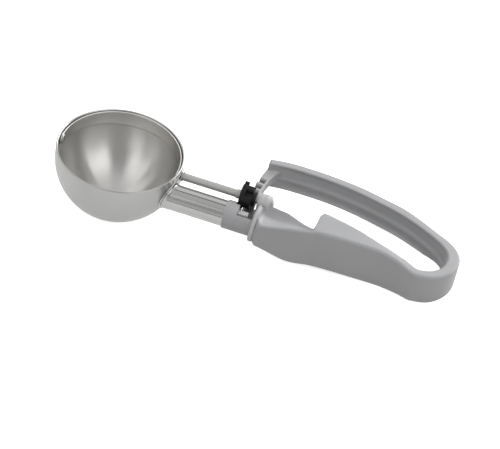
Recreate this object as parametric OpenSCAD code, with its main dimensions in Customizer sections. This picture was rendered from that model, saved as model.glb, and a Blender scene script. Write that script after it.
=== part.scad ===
// Lever ice cream scoop with a one-piece squeeze handle.
// Origin: centre of the bowl mouth.
// +X runs along the drive shaft to the handle, +Y to the lever and +Z out of the bowl.

/* [Bowl] */
// Inside radius of the bowl at its mouth
bowl_r = 35.5; // [32:0.5:40]
// Sheet thickness of the bowl
bowl_wall = 1; // [0.8:0.1:1.4]
// Height of the straight wall above the round part of the bowl
bowl_straight = 6; // [5.5:0.5:9]
// Thickness of the saddle plate welded to the bowl
saddle_t = 1.2; // [0.8:0.1:2]
// Width of the saddle round each thing that it carries
saddle_margin = 1.1; // [0.9:0.1:2]

/* [Scraper] */
// Thickness of the scraper blade
blade_t = 0.7; // [0.5:0.1:1]
// Width of the scraper blade at its middle
blade_w = 9.4; // [7:0.2:9.8]
// Radius of the round eye at each end of the blade
blade_eye_r = 3.4; // [3:0.1:4]
// Gap between the blade and the bowl
blade_gap = 0.35; // [0.3:0.05:0.6]
// Diameter of the rivets that the blade turns on
rivet_d = 3.2; // [2.8:0.1:3.6]
// Diameter of the rivet heads
rivet_head_d = 5.6; // [5:0.1:6]

/* [Drive shaft] */
// Depth of the shaft axis below the bowl mouth
shaft_drop = 5; // [4.8:0.1:5.6]
// Diameter of the drive shaft
shaft_d = 4.5; // [4:0.1:4.7]
// Wall of the bushes that the shaft turns in
bush_wall = 1; // [0.8:0.1:1.3]
// Radial clearance of everything that turns on a pin or in a bush
run_fit = 0.05; // [0.03:0.01:0.08]
// Length of the sleeve in front of the pinion
sleeve_len = 2.6; // [2:0.1:3]

/* [Shank] */
// Outside diameter of the shank tube
shank_d = 15.1; // [14.1:0.1:15.5]
// Wall of the shank tube
shank_wall = 1; // [0.8:0.1:1.3]
// Distance of the shank axis from the shaft axis, away from the lever
shank_side = 10.1; // [9.6:0.1:10.6]
// Distance of the shank axis below the shaft axis
shank_below = 8; // [7.5:0.1:8.5]
// Length of shank seen between the bowl and the collar
shank_len = 31; // [26:0.5:60]
// Wall of the collar round the shank
collar_wall = 0.7; // [0.6:0.1:1.2]
// Length of the collar between the shank and the grip
collar_len = 16.4; // [16:0.2:18]
// Length of shank inside the collar
shank_seat = 4.2; // [3.6:0.1:4.4]
// Length of the spigot inside the shank
spigot_len = 14; // [8:0.5:24]
// Length of the plug inside the grip
plug_len = 12; // [8:0.5:16]
// Diameter of the cross pin that holds the shank
cross_pin_d = 2; // [1.5:0.1:2.4]

/* [Rack and pinion] */
// Pitch radius of the pinion
pitch_r = 5.4; // [5.2:0.1:5.6]
// Tooth pressure angle
pressure_angle = 25; // [24:1:28]
// Height of a pinion tooth above the pitch circle
tooth_up = 1.1; // [0.9:0.05:1.2]
// Height of a rack tooth above the pitch line
rack_up = 1; // [0.8:0.05:1]
// Gap between a tooth tip and the bottom of its space
tip_gap = 0.3; // [0.3:0.05:0.4]
// Width of a tooth along the pitch line, as a part of the pitch
tooth_fill = 0.43; // [0.4:0.01:0.45]
// Length of the smooth front part of the pinion
pinion_hub_len = 2.7; // [2.5:0.1:3]
// Length of the toothed part of the pinion
pinion_teeth_len = 4.2; // [3.6:0.1:4.4]
// Length of the narrow rear part of the pinion
pinion_tail_len = 2; // [1.6:0.1:2.4]
// Reach of the stop lug from the pinion axis
lug_reach = 8.2; // [7.6:0.1:8.4]
// Thickness of the rack bar below its teeth
rack_bar_t = 3; // [2.4:0.1:3.2]
// Width of the spine beside the rack teeth
spine_w = 1.2; // [1:0.1:1.5]
// Clearance round the rack and the pinion
gear_gap = 0.4; // [0.35:0.05:0.5]

/* [Handle] */
// Length of the grip from its lip to the rear bend
grip_len = 88; // [83:1:130]
// Greatest half height of the grip
grip_half_h = 13.1; // [11.5:0.1:14]
// Half height of the loop at the rear bend
bend_half_h = 9.8; // [8.8:0.1:10.5]
// Half height of the lever
lever_half_h = 8.4; // [7.6:0.1:8.8]
// Distance of the lever's outer face from the shaft axis
lever_y = 39.4; // [38:0.2:44]
// Thickness of the lever
lever_t = 4; // [3.4:0.1:4.6]
// Thickness of the loop where it flexes
flex_t = 3.1; // [2.2:0.1:3.4]
// Depth of the grooves in the lever's inner face
groove_depth = 1.3; // [0.6:0.1:1.8]
// Height of the finger stop above the shank side of the grip
hump_y = 2; // [-1:0.1:2.4]
// Thickness of the bearing boss that carries the shaft's rear end
boss_t = 4.5; // [4:0.1:5]
// Radius of the bearing boss
boss_r = 5; // [4.8:0.1:5.6]
// Slant of the grip's front lip, as a part of its height
lip_lean = 0.05; // [0:0.01:0.1]
// Width of the flange at the front lip
lip_flange = 2; // [1.5:0.1:3]

/* [Hidden] */
$fn = 64;

steel = [0.8, 0.8, 0.81];
grey = [0.62, 0.63, 0.66];
light_grey = [0.72, 0.73, 0.75];
black = [0.1, 0.1, 0.1];

// Bowl, shaft and blade
bowl_out = bowl_r + bowl_wall;
rim_step = 0.5;
saddle_out = bowl_out + saddle_t;
shaft_z = -shaft_drop;
shaft_r = shaft_d / 2;
bush_r = shaft_r + run_fit + bush_wall;
bush_flange_r = bush_r + 0.4;
bush_flange_t = 0.5;
blade_out = bowl_r - blade_gap;
blade_in = blade_out - blade_t;
rivet_r = rivet_d / 2;
rivet_head_r = rivet_head_d / 2;
rivet_head_t = 0.8;
// Plane where a rivet head's rim meets the hollow side of the blade
eye_x = sqrt(blade_in * blade_in - rivet_head_r * rivet_head_r);
turn_gap = 0.2;
shaft_front = blade_out + 0.1;

// Shank and collar, on an axis beside and below the shaft
shank_r = shank_d / 2;
shank_y = -shank_side;
shank_z = shaft_z - shank_below;
mid_z = shank_z;
collar_r = shank_r + collar_wall;
collar_x = bowl_out + shank_len;
lip_x = collar_x + collar_len;
lip_r = collar_r + 2.3;
collar_end = lip_x + lip_lean * lip_r;
shank_end = collar_x + shank_seat;
spigot_fit = 0.05;
spigot_r = shank_r - shank_wall - spigot_fit;

// Pinion, on the shaft just behind the end of the shank
pinion_teeth = 6;
pinion_x = shank_end + 0.8;
pinion_teeth_x = pinion_x + pinion_hub_len;
pinion_teeth_end = pinion_teeth_x + pinion_teeth_len;
pinion_end = pinion_teeth_end + pinion_tail_len;
pinion_tail_r = pitch_r - rack_up - gear_gap;
tip_r = pitch_r + tooth_up;
root_r = pitch_r - rack_up - tip_gap;
base_r = pitch_r * cos(pressure_angle);
pitch = 2 * PI * pitch_r / pinion_teeth;
tooth_step = 360 / pinion_teeth;
lug_angle = 135;
lug_len = 2.4;
lug_w = 2.4;
pin_r = 0.8;
pin_x = pinion_x + pinion_hub_len / 2;
sleeve_r = shaft_r + 0.5;

// Bearing boss behind the pinion, and the cap behind the boss
boss_x = pinion_end + 2.4;
boss_end = boss_x + boss_t;
boss_low_z = mid_z - 4;
boss_side = boss_r - 0.4;
boss_foot = 9;
cap_len = 1.9;
cap_r = shaft_r + 0.7;
shaft_rear = boss_end + gear_gap + cap_len + 1.1;

// The loop flexes at its rear bend, and the lever swings about this upright line.
bend_x = lip_x + grip_len;
flex_x = bend_x + 12;
flex_y = 4;

// Rack, on an arc round the flex line
rack_teeth = 4;
rack_x = pinion_teeth_x + pinion_teeth_len / 2;
rack_reach = norm([flex_x - rack_x, flex_y]);
rack_out_r = rack_reach + pinion_teeth_len / 2 - gear_gap;
spine_r = rack_reach - pinion_teeth_len / 2 - gear_gap;
rack_in_r = spine_r - spine_w;
rack_pitch_z = shaft_z - pitch_r;
rack_tip_z = rack_pitch_z + rack_up;
rack_root_z = shaft_z - tip_r - tip_gap;
rack_low_z = rack_root_z - rack_bar_t;
rack_step = pitch / rack_reach * 180 / PI;
mesh_angle = 180 + atan2(flex_y, flex_x - rack_x);
// Far wall of the channel that the rack enters
rack_deep = shank_y - collar_r + collar_wall + 0.3;
// Open-topped window in the collar, over the channel
window_x = pinion_teeth_x - 0.5;
// Shelf that carries the rack where it enters the collar
shelf_t = 2;
shelf_y = shelf_t + 1.2;
// Clip over the rack, held by a tongue in the window's front wall
clip_len = 5.4;
clip_w = 4.8;
clip_h = 4;
clip_z = rack_tip_z + gear_gap;
clip_in = shank_y + 0.7;
tongue_len = 2;
tongue_t = 1.6;

// Lever front end, over the rack: its inner face dips by lever_dip over the length of its nose.
lever_front = pinion_end - 1.8;
lever_nose = 12;
lever_dip = 1.8;
lever_in = lever_y - lever_t - 0.2 - lever_dip;
tenon_x = lever_front + 2.4;
tenon_len = 4.6;
tenon_in = 2.4;

// ---------- curves ----------

function catmull(a, b, c, d, t) =
    0.5 * (2 * b + (c - a) * t + (2 * a - 5 * b + 4 * c - d) * t * t + (3 * b - a - 3 * c + d) * t * t * t);

// Smooth rows between the given rows, with n steps for each gap.
function smooth_rows(rows, n) =
    let (last = len(rows) - 1)
    concat([for (i = [0 : last - 1], j = [0 : n - 1])
                catmull(rows[max(i - 1, 0)], rows[i], rows[i + 1], rows[min(i + 2, last)], j / n)],
           [rows[last]]);

function on_circle(c, r, a) = [c[0] + r * cos(a), c[1] + r * sin(a)];

// Points of an arc of n steps from angle a0 to a1 round centre c.
function arc(c, r, a0, a1, n) = [for (i = [0 : n]) on_circle(c, r, a0 + (a1 - a0) * i / n)];

// Mean of a list of points in space.
function middle(points) = [for (k = [0 : 2]) sum([for (p = points) p[k]]) / len(points)];

function sum(list, i = 0) = i < len(list) ? list[i] + sum(list, i + 1) : 0;

// Skin through sections that all have the same number of points, closed by a fan at each end.
module skin(sections) {
    count = len(sections[0]);
    last = len(sections) - 1;
    first_hub = (last + 1) * count;
    sides = [for (s = [0 : last - 1], i = [0 : count - 1])
                 let (a = s * count + i, b = s * count + (i + 1) % count)
                 each [[a, b + count, b], [a, a + count, b + count]]];
    front = [for (i = [0 : count - 1]) [first_hub, i, (i + 1) % count]];
    back = [for (i = [0 : count - 1]) [first_hub + 1, last * count + (i + 1) % count, last * count + i]];
    polyhedron(points = concat([for (s = sections) each s], [middle(sections[0]), middle(sections[last])]),
               faces = concat(sides, front, back), convexity = 10);
}

// ---------- bowl ----------

module bowl_shape(r) {
    translate([0, 0, -bowl_straight]) {
        sphere(r);
        cylinder(r = r, h = bowl_straight);
    }
}

module along_x(x0, x1, r, y = 0, z = shaft_z) {
    translate([x0, y, z]) rotate([0, 90, 0]) cylinder(r = r, h = x1 - x0);
}

module bowl() {
    color(steel) difference() {
        bowl_shape(bowl_out);
        bowl_shape(bowl_r);
        translate([-bowl_out, -bowl_out, 0]) cube([2 * bowl_out, 2 * bowl_out, bowl_out]);
        along_x(0, bowl_out + 1, bush_r);
        along_x(-bowl_out - 1, 0, rivet_r);
    }
}

// Plate welded to the bowl, which carries the shaft's front bush and the shank.
module bowl_saddle() {
    color(steel) difference() {
        intersection() {
            bowl_shape(saddle_out);
            along_saddle();
        }
        bowl_shape(bowl_out);
        along_x(0, saddle_out + 1, bush_r);
        translate([0, -bowl_out, -rim_step]) cube([2 * bowl_out, 2 * bowl_out, bowl_out]);
    }
}

// Outline round the bush and the shank, run along X: two arcs and the two lines that touch both.
module along_saddle() {
    small_r = bush_flange_r + saddle_margin;
    big_r = shank_r + saddle_margin;
    heading = atan2(-shank_below, -shank_side);
    lean = 180 - acos((big_r - small_r) / norm([shank_side, shank_below]));
    small_c = [0, 0];
    big_c = [shank_y, -shank_below];
    translate([0, 0, shaft_z]) rotate([90, 0, 90]) linear_extrude(saddle_out + 1)
        polygon(concat(arc(small_c, small_r, heading + lean, heading + 360 - lean, 16),
                       arc(big_c, big_r, heading - lean, heading + lean, 24)));
}

module neck_bush() {
    color(steel) difference() {
        union() {
            along_x(bowl_r, saddle_out, bush_r);
            along_x(saddle_out, saddle_out + bush_flange_t, bush_flange_r);
        }
        along_x(bowl_r - 1, saddle_out + bush_flange_t + 1, shaft_r + run_fit);
    }
}

// Rivet in the bowl's far wall, on which the blade's front eye turns.
module tip_pivot() {
    color(steel) {
        along_x(-bowl_out - rivet_head_t, turn_gap - eye_x + rivet_head_t, rivet_r);
        along_x(turn_gap - eye_x, turn_gap - eye_x + rivet_head_t, rivet_head_r);
        along_x(-bowl_out - rivet_head_t, -bowl_out, rivet_head_r);
    }
}

// ---------- scraper and shaft ----------

// Blade seen from its outer side: two wide arcs that narrow it towards the eyes.
module blade_outline() {
    rise = (blade_w - blade_eye_r) / 2;
    bulge_r = (blade_out * blade_out + rise * rise) / (2 * rise);
    intersection() {
        translate([0, blade_w / 2 - bulge_r]) circle(bulge_r, $fn = 200);
        translate([0, bulge_r - blade_w / 2]) circle(bulge_r, $fn = 200);
    }
}

module scraper_blade() {
    color(steel) translate([0, 0, shaft_z]) difference() {
        intersection() {
            difference() {
                sphere(blade_out, $fn = 120);
                sphere(blade_in, $fn = 120);
            }
            union() {
                rotate([-90, 0, 0]) linear_extrude(blade_out + 1) blade_outline();
                along_x(-blade_out - 1, blade_out + 1, blade_eye_r, z = 0);
            }
        }
        along_x(-blade_out - 1, 0, rivet_r + run_fit, z = 0);
        along_x(0, blade_out + 1, rivet_r, z = 0);
    }
}

module blade_rivet() {
    color(steel) {
        along_x(eye_x - rivet_head_t, shaft_front, rivet_r);
        along_x(eye_x - rivet_head_t, eye_x, rivet_head_r);
    }
}

module drive_shaft() {
    color(steel) difference() {
        along_x(shaft_front, shaft_rear, shaft_r);
        translate([pin_x, 0, shaft_z]) cylinder(r = pin_r, h = shaft_d + 2, center = true);
    }
}

module front_sleeve() {
    color(steel) difference() {
        along_x(pinion_x - sleeve_len, pinion_x, sleeve_r);
        along_x(pinion_x - sleeve_len - 1, pinion_x + 1, shaft_r);
    }
}

module end_cap() {
    color(light_grey) difference() {
        along_x(boss_end + gear_gap, boss_end + gear_gap + cap_len, cap_r);
        along_x(boss_end, boss_end + cap_len + 2, shaft_r);
    }
}

// ---------- pinion ----------

function involute(a) = tan(a) * 180 / PI - a;

// Half angle of a pinion tooth at radius r, which is no less than the base radius.
function half_tooth(r) =
    180 * tooth_fill / pinion_teeth + involute(pressure_angle) - involute(acos(min(1, base_r / r)));

function half_space(r) = tooth_step / 2 - half_tooth(r);

// Space between two teeth, centred on angle 0, which opens along +X.
module tooth_space() {
    steps = 6;
    radii = [for (i = [0 : steps]) base_r + (tip_r + 0.2 - base_r) * i / steps];
    lower = [for (r = radii) on_circle([0, 0], r, -half_space(r))];
    upper = [for (i = [steps : -1 : 0]) on_circle([0, 0], radii[i], half_space(radii[i]))];
    mouth = [1.3 * tip_r, 0];
    root = arc([0, 0], root_r, half_space(base_r), -half_space(base_r), steps);
    polygon(concat(lower, [mouth], upper, root));
}

// Pinion with teeth on half of its middle part, and a stop lug on its smooth front part.
module pinion() {
    color(black) translate([0, 0, shaft_z]) difference() {
        union() {
            along_x(pinion_x, pinion_teeth_x, tip_r, z = 0);
            along_x(pinion_teeth_x, pinion_end, pinion_tail_r, z = 0);
            difference() {
                along_x(pinion_teeth_x, pinion_teeth_end, tip_r, z = 0);
                for (i = [0 : rack_teeth - 1])
                    translate([pinion_teeth_x, 0, 0]) rotate([90, 0, 90]) linear_extrude(pinion_teeth_len + 1)
                        rotate(tooth_step * (i + 0.5) - 90) tooth_space();
            }
            translate([pinion_teeth_x - lug_len, 0, 0]) rotate([lug_angle - 180, 0, 0])
                translate([0, -lug_w / 2, 0]) cube([lug_len, lug_w, lug_reach]);
        }
        along_x(pinion_x - 1, pinion_end + 1, shaft_r, z = 0);
        translate([pin_x, 0, 0]) cylinder(r = pin_r, h = 2 * tip_r + 2, center = true);
    }
}

module pinion_pin() {
    color(steel) translate([pin_x, 0, shaft_z]) cylinder(r = pin_r, h = 2 * tip_r - 1, center = true);
}

// ---------- shank ----------

module shank_tube() {
    color(steel) difference() {
        along_x(0, shank_end, shank_r, shank_y, shank_z);
        along_x(-1, shank_end + 1, shank_r - shank_wall, shank_y, shank_z);
        bowl_shape(saddle_out);
        shank_pin_bore(cross_pin_d / 2);
    }
}

module shank_pin_bore(r) {
    pin_low = shank_z - shank_r - collar_wall + 0.3;
    translate([collar_x + shank_seat / 2, shank_y, pin_low]) cylinder(r = r, h = 2 * shank_r);
}

module shank_pin() {
    color(steel) shank_pin_bore(cross_pin_d / 2);
}

// Ring round the lever's swing line, from radius r0 to r1 and between two heights.
module swing_ring(r0, r1, z0, z1, a0, a1) {
    translate([flex_x, flex_y, 0]) rotate(a0) rotate_extrude(angle = a1 - a0, $fn = 240)
        translate([r0, z0]) square([r1 - r0, z1 - z0]);
}

// Open-topped channel across the collar, which the rack enters.
module rack_channel() {
    translate([window_x, rack_deep, rack_low_z - gear_gap]) cube([lip_x - window_x, lever_y, shank_d]);
}

// Shelf below the rack, on the lever's side of the collar.
module rack_shelf() {
    translate([window_x, shank_y, rack_low_z - gear_gap - shelf_t])
        cube([pinion_end + gear_gap - window_x, shelf_y - shank_y, shelf_t]);
}

module shank_collar() {
    color(grey) difference() {
        union() {
            along_x(collar_x, collar_end, collar_r, shank_y, shank_z);
            along_x(shank_end - spigot_len, collar_x, spigot_r, shank_y, shank_z);
            along_x(collar_end, lip_x + plug_len, shank_r, shank_y, shank_z);
            rack_shelf();
        }
        difference() {
            along_x(collar_x - spigot_len, shank_end, shank_r, shank_y, shank_z);
            along_x(collar_x - spigot_len - 1, shank_end + 1, spigot_r, shank_y, shank_z);
        }
        along_x(pinion_x - gear_gap, pinion_teeth_x + gear_gap, lug_reach + gear_gap);
        along_x(pinion_x, pinion_end + gear_gap, tip_r + gear_gap);
        rack_channel();
        clip_shape();
        shank_pin_bore(cross_pin_d / 2);
    }
}

// Small clip over the rack channel, which keeps the rack down in its guide.
module guide_clip() {
    color(light_grey) clip_shape();
}

module clip_shape() {
    clip_x = window_x + 0.7;
    translate([clip_x, clip_in - clip_w, clip_z]) cube([clip_len, clip_w, clip_h]);
    translate([window_x - tongue_len, clip_in - clip_w + 1, clip_z])
        cube([clip_x + 1 - window_x + tongue_len, clip_w - 2, tongue_t]);
}

// ---------- handle ----------

// Section of the grip, with rounded corners. A row holds the distance behind the lip, the inner and outer y,
// the inner and outer half height and the inner and outer corner radius.
function grip_section(row) =
    let (x = row[0], y0 = row[1], y1 = row[2], h0 = row[3], h1 = row[4], r0 = row[5], r1 = row[6], n = 5,
         lean = lip_lean * max(0, 1 - x / neck_len))
    [for (p = concat(arc([y0 - r0, h0 - r0], r0, 0, 90, n), arc([y1 + r1, h1 - r1], r1, 90, 180, n),
                     arc([y1 + r1, r1 - h1], r1, 180, 270, n), arc([y0 - r0, r0 - h0], r0, 270, 360, n)))
         [lip_x + x + lean * p[1], p[0], mid_z + p[1]]];

neck_len = 33.8;
neck_in = shank_y + lip_r - 0.2;
neck_out = shank_y - lip_r - 0.2;
gh = grip_half_h;
slim = lip_r - 0.7;

// The neck is round behind its flange, and flattens towards the palm.
neck_rows = [
    [0, neck_in + 0.2, neck_out - 0.1, lip_r, lip_r, lip_r - 0.3, lip_r - 0.3],
    [lip_flange, neck_in + 0.2, neck_out - 0.1, lip_r, lip_r, lip_r - 0.3, lip_r - 0.3],
    [lip_flange + 1, neck_in - 0.5, neck_out + 0.4, slim, slim, slim - 0.4, slim - 0.6],
    [lip_flange + 4, neck_in - 0.5, neck_out + 0.3, slim - 0.2, slim - 0.1, slim - 0.5, slim - 1.5],
    [20, neck_in - 1.8, neck_out + 0.3, 8.4, gh - 2.3, 8, 3.5],
    [29, neck_in - 3.3, neck_out + 1.5, 7.4, gh - 1, 7, 3],
    [neck_len, neck_in - 4.2, neck_out + 2.9, 6.8, gh - 0.5, 6.5, 3]];

// The palm starts with the finger stop, and thins towards the rear bend.
palm_rows = [
    [neck_len + 1.4, hump_y - 2.4, neck_out + 3.4, gh - 0.6, gh - 0.3, 4, 3],
    [neck_len + 3.7, hump_y, neck_out + 3.9, gh - 0.4, gh - 0.1, 3, 3],
    [46, hump_y - 2, neck_out + 4.6, gh - 0.1, gh, 3, 3],
    [grip_len - 30, hump_y - 5.6, neck_out + 4.9, gh - 0.1, gh, 2.4, 3],
    [grip_len - 17, hump_y - 10.6, neck_out + 4.9, gh - 0.3, gh - 0.2, 2.2, 2.5],
    [grip_len - 10, hump_y - 12.6, neck_out + 4, gh - 0.9, gh - 0.8, 2.2, 2.3],
    [grip_len - 4, hump_y - 14.7, neck_out + 2.9, gh - 1.7, gh - 1.6, 2, 2],
    [grip_len, hump_y - 15.7, neck_out + 1.6, bend_half_h + 0.8, bend_half_h + 0.8, 2, 2]];

module handle_grip() {
    color(grey) difference() {
        union() {
            skin([for (rows = [neck_rows, palm_rows], row = smooth_rows(rows, 4)) grip_section(row)]);
            bearing_boss();
        }
        along_x(lip_x - lip_r, collar_end, collar_r, shank_y, shank_z);
        along_x(lip_x, lip_x + plug_len, shank_r, shank_y, shank_z);
        along_x(boss_x - 1, boss_end + 1, bush_r);
        along_x(boss_end, shaft_rear + 1, cap_r + gear_gap);
    }
}

// Upright boss for the shaft's rear end, on a foot that runs back into the grip.
module bearing_boss() {
    foot_z = shaft_z - boss_side;
    translate([boss_x, 0, shaft_z]) rotate([90, 0, 90]) linear_extrude(boss_t) {
        circle(boss_r);
        translate([-boss_side, boss_low_z - shaft_z]) square([2 * boss_side, shaft_z - boss_low_z]);
    }
    translate([0, 0, boss_low_z]) linear_extrude(foot_z - boss_low_z)
        polygon([[boss_x, -boss_side], [boss_x, boss_side], [boss_end, boss_side],
                 [boss_end + boss_foot, neck_in - 2], [boss_end + boss_foot, -boss_side]]);
}

module rear_bush() {
    color(steel) difference() {
        along_x(boss_x, boss_end, bush_r);
        along_x(boss_x - 1, boss_end + 1, shaft_r + run_fit);
    }
}

// ---------- loop ----------

// Section of the loop. A row holds the inner edge and the outer edge in plan, the half height,
// the depth of the two grooves in the inner face and the corner radius.
function loop_section(row) =
    let (a = [row[0], row[1]], b = [row[2], row[3]], h = row[4], g = row[5], r = row[6],
         t = norm(b - a), u = (b - a) / t, n = 3, rib = 1.6, rim = 2.6, slope = 0.5,
         groove = [[0, h - rim], [g, h - rim - slope], [g, rib + slope], [0, rib],
                   [0, -rib], [g, -rib - slope], [g, rim + slope - h], [0, rim - h]],
         shape = concat(groove, arc([r, r - h], r, 180, 270, n), arc([t - r, r - h], r, 270, 360, n),
                        arc([t - r, h - r], r, 0, 90, n), arc([r, h - r], r, 90, 180, n)))
    [for (p = shape) [a[0] + u[0] * p[0], a[1] + u[1] * p[0], mid_z + p[1]]];

bend_in = [bend_x + 8, -3.3];
bend_in_r = 13.3;
bend_out = [bend_x + 8.6, -2.1];
bend_out_r = 19.8;
grip_in = hump_y - 15.7;
grip_out = neck_out + 1.6;
bh = bend_half_h;
lh = lever_half_h;

// The rear bend follows an inner and an outer circle, and thins to the flexing strip above them.
bend_rows = concat(
    [[bend_x, grip_in, bend_x, grip_out, bh + 0.8, 0, 1.6],
     [bend_x + 4, grip_in - 1.7, bend_x + 4, grip_out - 1.7, bh + 0.2, 0, 1.6]],
    [for (a = [-90 : 30 : 0])
         concat(on_circle(bend_in, bend_in_r, a), on_circle(bend_out, bend_out_r, a), [bh, 0, 1.6])],
    [[bend_x + 20.4, 3.2, bend_x + 26.2, 5.8, bh - 0.3, 0, 1.3],
     [bend_x + 16, 9.4, bend_x + 20.2, 12.3, bh - 0.7, 0, 1],
     [bend_x + 9, 14.6, bend_x + 10.8, 14.6 + flex_t, lh + 0.3, 0, 1],
     [bend_x, 20.2, bend_x + 1.5, 20.2 + flex_t, lh, 0, 1]]);

// The lever runs forward from the bend, bows outwards and ends over the rack.
lever_rows = [
    bend_rows[len(bend_rows) - 1],
    [bend_x - 12, 25.7, bend_x - 10.4, 26 + (flex_t + lever_t) / 2, lh, groove_depth * 0.5, 1.2],
    [bend_x - 25, lever_y - lever_t - 5.9, bend_x - 24, lever_y - 5.6, lh, groove_depth, 1.2],
    [bend_x - 38, lever_y - lever_t - 2.8, bend_x - 37.4, lever_y - 2.5, lh, groove_depth, 1.2],
    [bend_x - 51, lever_y - lever_t - 0.8, bend_x - 50.8, lever_y - 0.8, lh, groove_depth, 1.2],
    [bend_x - 64, lever_y - lever_t, bend_x - 64, lever_y, lh, groove_depth, 1.2],
    [lever_front + lever_nose, lever_in + lever_dip, lever_front + lever_nose, lever_y - 0.2,
     lh, groove_depth * 0.7, 1.2],
    [lever_front, lever_in, lever_front, lever_y - 2.2, lh, 0, 1.2]];

module flex_bend() {
    color(grey) skin([for (row = smooth_rows(bend_rows, 4)) loop_section(row)]);
}

module squeeze_lever() {
    color(grey) difference() {
        skin([for (row = smooth_rows(lever_rows, 5)) loop_section(row)]);
        rack_tenon();
    }
}

// Tongue of the rack arm, pressed into a slot of the same size in the lever.
module rack_tenon() {
    shoulder = 0.4;
    translate([tenon_x, lever_in - 2, rack_low_z + shoulder])
        cube([tenon_len, 2 + tenon_in, rack_tip_z - rack_low_z - 2 * shoulder]);
}

// ---------- rack ----------

// Gap between two rack teeth with straight sloped flanks, at the mesh angle.
module rack_gap() {
    half = pitch * (1 - tooth_fill) / 2;
    slope = tan(pressure_angle);
    low = rack_root_z - rack_pitch_z;
    high = rack_up + 1;
    translate([flex_x, flex_y, 0]) rotate(mesh_angle) translate([spine_r, 0, rack_pitch_z])
        rotate([90, 0, 90]) linear_extrude(pinion_teeth_len + 1)
            polygon([[-half - low * slope, low], [half + low * slope, low],
                     [half + high * slope, high], [-half - high * slope, high]]);
}

// Toothed arm from the lever's front end, with a spine behind its teeth and a gusset at its root.
module rack_arm() {
    rack_end = mesh_angle - rack_step * 0.2;
    root = 160;
    gusset_len = 6;
    gusset_y = lever_in - gusset_len;
    inset = 0.3;
    color(light_grey) {
        intersection() {
            union() {
                difference() {
                    swing_ring(rack_in_r, rack_out_r, rack_low_z, rack_tip_z, root, rack_end);
                    for (i = [0 : rack_teeth])
                        translate([flex_x, flex_y, 0]) rotate(-rack_step * i)
                            translate([-flex_x, -flex_y, 0]) rack_gap();
                }
                translate([tenon_x - inset, 0, 0]) rotate([90, 0, 90]) linear_extrude(tenon_len + 2 * inset)
                    polygon([[gusset_y, rack_low_z + inset], [gusset_y, rack_tip_z - inset],
                             [lever_y, rack_tip_z + 0.8], [lever_y, mid_z - lever_half_h + 1.2]]);
            }
            lever_side();
        }
        rack_tenon();
    }
}

// Space on the shaft's side of the lever's nose, bounded by the chord of its inner face.
module lever_side() {
    reach = 2 * lever_nose;
    rise = reach * lever_dip / lever_nose;
    translate([lever_front, lever_in, -2 * shank_d]) linear_extrude(3 * shank_d)
        polygon([[-reach, -2 * lever_y], [reach, -2 * lever_y], [reach, rise], [-reach, -rise]]);
}

bowl();
bowl_saddle();
neck_bush();
tip_pivot();
shank_tube();
shank_collar();
shank_pin();
guide_clip();
handle_grip();
rear_bush();
flex_bend();
squeeze_lever();
rack_arm();
drive_shaft();
blade_rivet();
scraper_blade();
front_sleeve();
pinion();
pinion_pin();
end_cap();
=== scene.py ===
"""Finishes and smooth visual pieces for the lever ice cream scoop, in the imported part's row frame.

Sizes are in millimetres unless a comment says otherwise, and become metres in the meshes. X runs
along the drive shaft to the handle, Y from the grip to the squeeze lever and Z out of the bowl.
"""
import math

import bmesh
import bpy
from mathutils import Matrix, Vector


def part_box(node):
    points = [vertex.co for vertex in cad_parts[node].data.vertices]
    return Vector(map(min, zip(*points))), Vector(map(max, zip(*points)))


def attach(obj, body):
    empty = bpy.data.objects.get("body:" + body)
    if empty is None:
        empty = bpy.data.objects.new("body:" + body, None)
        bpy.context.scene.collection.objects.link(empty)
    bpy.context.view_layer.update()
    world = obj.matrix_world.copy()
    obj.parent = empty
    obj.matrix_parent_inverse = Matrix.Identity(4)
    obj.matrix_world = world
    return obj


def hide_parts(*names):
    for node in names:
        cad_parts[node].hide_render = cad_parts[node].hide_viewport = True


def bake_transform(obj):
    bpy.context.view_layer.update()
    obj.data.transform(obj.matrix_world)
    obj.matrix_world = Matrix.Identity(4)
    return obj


MM = 0.001
X, Y, Z = 0, 1, 2
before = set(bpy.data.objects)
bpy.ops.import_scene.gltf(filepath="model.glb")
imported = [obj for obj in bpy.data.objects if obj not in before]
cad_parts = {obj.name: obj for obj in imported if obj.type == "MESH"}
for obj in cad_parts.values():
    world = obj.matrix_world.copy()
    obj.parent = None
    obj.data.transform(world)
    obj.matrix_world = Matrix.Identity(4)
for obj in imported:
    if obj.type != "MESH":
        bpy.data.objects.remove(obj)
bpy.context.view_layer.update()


# ---------- sizes from the frame, and those that pieces share ----------

def mm_box(node):
    """Lowest and highest corner of a CAD node."""
    return [Vector(corner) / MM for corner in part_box(node)]


def across(node, axis):
    """Middle and half width of a CAD node along an axis."""
    low, high = mm_box(node)
    return (low[axis] + high[axis]) / 2, (high[axis] - low[axis]) / 2


def ends(node):
    """Lowest and highest X of a CAD node."""
    return [corner[X] for corner in mm_box(node)]


bowl_out = across("bowl", X)[1]
bowl_wall = 1.0
bowl_r = bowl_out - bowl_wall
bowl_straight = -mm_box("bowl")[0][Z] - bowl_out
shaft_z, shaft_r = across("drive_shaft", Z)
shank_y, shank_r = across("shank_tube", Y)
shank_z = across("shank_tube", Z)[0]
tube_end = ends("shank_tube")[1]
blade_out = across("scraper_blade", X)[1]
blade_half = across("scraper_blade", Z)[1]
blade_t = 0.7
saddle_t = 1.1
boss_x, boss_end = ends("rear_bush")
grip_len = 88
bend_x = ends("handle_grip")[1]
lip_x = bend_x - grip_len
mid_z = shank_z


# ---------- camera and floor ----------

CAMERA_PLACE = Vector((208.5, -842.8, 724.6))
CAMERA_FORWARD = Vector((-0.11245, 0.74278, -0.66003))
CAMERA_UP = Vector((-0.2997, 0.60796, 0.73524))
CAMERA_RANGE = (0.05, 50)  # metres
SENSOR_WIDTH = 36
PHOTO_WIDTH = 500  # pixels
FOCAL_PX = 2000


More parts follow.
